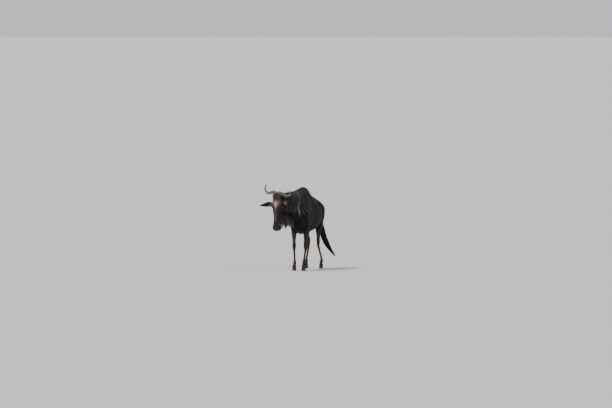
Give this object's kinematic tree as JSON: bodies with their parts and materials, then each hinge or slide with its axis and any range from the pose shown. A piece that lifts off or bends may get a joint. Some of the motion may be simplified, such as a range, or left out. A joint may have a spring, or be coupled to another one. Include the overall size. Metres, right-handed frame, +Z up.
{
  "type": "wildebeest",
  "caption": "Life-size standing wildebeest model with curved horns, shaggy mane and beard, and a tasselled tail, head turned to one side.",
  "frame": {"origin": "on the floor, under the middle of the model's box", "axes": "+Z up, the animal faces -Y, its left side is +X"},
  "size_m": [0.7944, 1.9124, 1.3444],
  "materials": {
    "coat_body": "short dark slate fur with darker upright stripes",
    "coat_neck": "dark fur with a black and grey mane and a pale beard",
    "coat_head": "short blackish fur, reddish brown on the forehead",
    "coat_leg": "short brownish fur",
    "hair_tail": "long black hair",
    "ear": "thin fur, dark brown outside and paler inside",
    "horn": "grey-brown keratin, rough at the base and smooth at the tip",
    "hoof": "dark worn keratin",
    "eye": "wet, very dark brown"
  },
  "bodies": {
    "root": {"torso": "coat_body", "neck": "coat_neck", "head": "coat_head", "tail": "hair_tail", "foreleg_left_upper": "coat_leg", "foreleg_left_lower": "coat_leg", "hindleg_left_upper": "coat_leg", "hindleg_left_lower": "coat_leg", "hoof_fore_left_outer": "hoof", "hoof_fore_left_inner": "hoof", "hoof_hind_left_outer": "hoof", "hoof_hind_left_inner": "hoof", "horn_left": "horn", "ear_left": "ear", "eye_left": "eye", "foreleg_right_upper": "coat_leg", "foreleg_right_lower": "coat_leg", "hindleg_right_upper": "coat_leg", "hindleg_right_lower": "coat_leg", "hoof_fore_right_outer": "hoof", "hoof_fore_right_inner": "hoof", "hoof_hind_right_outer": "hoof", "hoof_hind_right_inner": "hoof", "horn_right": "horn", "ear_right": "ear", "eye_right": "eye"}
  },
  "joints": []
}
